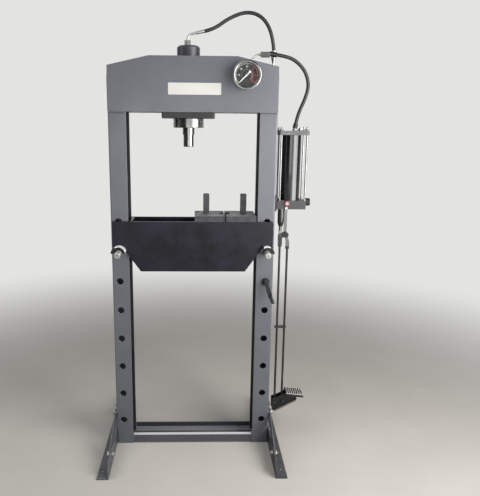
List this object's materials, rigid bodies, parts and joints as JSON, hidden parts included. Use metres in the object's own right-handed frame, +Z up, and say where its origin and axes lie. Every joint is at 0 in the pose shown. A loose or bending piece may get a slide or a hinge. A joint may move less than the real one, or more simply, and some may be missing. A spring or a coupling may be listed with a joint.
{
  "type": "hydraulic workshop press",
  "caption": "Floor-standing hydraulic workshop press with a sliding cylinder head, an adjustable bed on pins, a pressure gauge and a foot pump at its side.",
  "frame": {"origin": "on the floor, in the middle of the four anchor holes", "axes": "+X to the pump side (right, seen from the front), +Y to the back, +Z up"},
  "size_m": [0.9266, 0.68, 1.9323],
  "materials": {
    "frame_paint": "satin anthracite grey paint",
    "bed_paint": "satin blue-black paint",
    "black_paint": "semi-gloss black paint",
    "pump_grey": "satin mid-grey paint",
    "tread_grey": "worn grey, dark between the ribs",
    "mill_steel": "dark oiled mill finish",
    "bright_steel": "turned and ground",
    "zinc": "zinc plated",
    "chrome": "polished",
    "hose_rubber": "matt black-grey",
    "seal_rubber": "matt",
    "dial": "black dial with a plain white scale",
    "needle": "white",
    "clear_glass": "clear",
    "black_plastic": "satin",
    "red_plastic": "gloss"
  },
  "bodies": {
    "frame": {"back_beam_plate": "frame_paint", "back_cross_member": "frame_paint", "crank_bushes": "zinc", "cylinder_hose": "hose_rubber", "foot_braces": "frame_paint", "frame_bolts": "zinc", "front_beam_plate": "frame_paint", "front_cross_member": "frame_paint", "gauge_bezel": "chrome", "gauge_case": "black_paint", "gauge_dial": "dial", "gauge_glass": "clear_glass", "gauge_pipe": "zinc", "hydraulic_fittings": "zinc", "left_foot": "frame_paint", "left_upright": "frame_paint", "linkage_bolts": "zinc", "pressure_manifold": "black_paint", "pump_barrel": "black_paint", "pump_block": "pump_grey", "pump_bracket": "pump_grey", "pump_hanger": "zinc", "pump_hose": "hose_rubber", "reservoir_top_plate": "pump_grey", "reservoir_tube": "black_paint", "right_foot": "frame_paint", "right_upright": "frame_paint", "rod_clip": "mill_steel", "stay_rod": "zinc", "tie_rod_nuts": "zinc", "tie_rods": "zinc", "valve_caps": "red_plastic"},
    "head": {"head_carriage_plate": "frame_paint", "cylinder_body": "black_paint", "cylinder_collar": "bright_steel", "cylinder_elbow": "zinc", "cylinder_hose_sleeve": "zinc"},
    "ram": {"ram": "bright_steel", "piston_seal": "seal_rubber", "ram_nose": "bright_steel"},
    "bed": {"front_bed_plate": "bed_paint", "back_bed_plate": "bed_paint", "bed_spacers": "bed_paint", "pin_saddles": "bed_paint", "left_arbor_plate": "mill_steel", "right_arbor_plate": "mill_steel", "arbor_plate_grips": "mill_steel"},
    "left_pin": {"left_pin": "zinc"},
    "right_pin": {"right_pin": "zinc"},
    "crank": {"crank": "black_paint"},
    "crank_handle": {"crank_handle": "black_plastic"},
    "needle": {"gauge_needle": "needle"},
    "release_valve": {"release_spindle": "zinc", "release_knob": "black_plastic"},
    "pedal": {"pedal_arm": "black_paint", "pedal_tread": "tread_grey"},
    "push_rod": {"push_rod": "zinc", "push_rod_pins": "zinc"},
    "plunger": {"pump_plunger": "bright_steel"},
    "rocker": {"pump_rocker": "mill_steel"}
  },
  "joints": [
    {"name": "head_slide", "type": "slide", "parent": "frame", "child": "head", "axis": [1, 0, 0], "range_m": [-0.06, 0.13], "deforming": ["cylinder_hose"]},
    {"name": "ram_slide", "type": "slide", "parent": "head", "child": "ram", "axis": [0, 0, -1], "range_m": [0, 0.15], "stiffness_N_per_m": 400, "springref_m": -0.25},
    {"name": "bed_lift", "type": "slide", "parent": "frame", "child": "bed", "axis": [0, 0, 1], "range_m": [0, 0.134]},
    {"name": "left_pin_slide", "type": "slide", "parent": "frame", "child": "left_pin", "axis": [0, -1, 0], "range_m": [0, 0.165]},
    {"name": "right_pin_slide", "type": "slide", "parent": "frame", "child": "right_pin", "axis": [0, -1, 0], "range_m": [0, 0.165]},
    {"name": "crank_turn", "type": "hinge", "parent": "frame", "child": "crank", "pos_m": [0.322, 0, 0.791], "axis": [0, 1, 0], "range_deg": [0, 430]},
    {"name": "crank_handle_spin", "type": "hinge", "parent": "crank", "child": "crank_handle", "pos_m": [0.34054, -0.145, 0.73394], "axis": [0, 1, 0], "continuous": true},
    {"name": "needle_turn", "type": "hinge", "parent": "frame", "child": "needle", "pos_m": [0.217, -0.105, 1.668], "axis": [0, 1, 0], "range_deg": [0, 270], "stiffness_Nm_per_rad": 0.002, "springref_deg": -28.65},
    {"name": "release_turn", "type": "hinge", "parent": "frame", "child": "release_valve", "pos_m": [0.49, 0, 1.141], "axis": [1, 0, 0], "range_deg": [0, 360]},
    {"name": "pedal_press", "type": "hinge", "parent": "frame", "child": "pedal", "pos_m": [0.424, 0, 0.19], "axis": [0, 1, 0], "range_deg": [0, 23.27], "stiffness_Nm_per_rad": 6, "springref_deg": -8.59},
    {"name": "push_rod_slide", "type": "slide", "parent": "frame", "child": "push_rod", "axis": [0, 0, 1], "range_m": [0, 0.0142]},
    {"name": "plunger_slide", "type": "slide", "parent": "frame", "child": "plunger", "axis": [0, 0, 1], "range_m": [0, 0.0142]},
    {"name": "rocker_swing", "type": "hinge", "parent": "frame", "child": "rocker", "pos_m": [0.413, 0, 0.994], "axis": [0, 1, 0], "range_deg": [0, 34.1]}
  ],
  "couplings": [
    {"joint": "crank_turn", "follows": "bed_lift", "rad_per_m": 55.556},
    {"joint": "push_rod_slide", "follows": "pedal_press", "m_per_rad": 0.034471},
    {"joint": "plunger_slide", "follows": "pedal_press", "m_per_rad": 0.034471},
    {"joint": "rocker_swing", "follows": "pedal_press", "ratio": 1.4549}
  ]
}
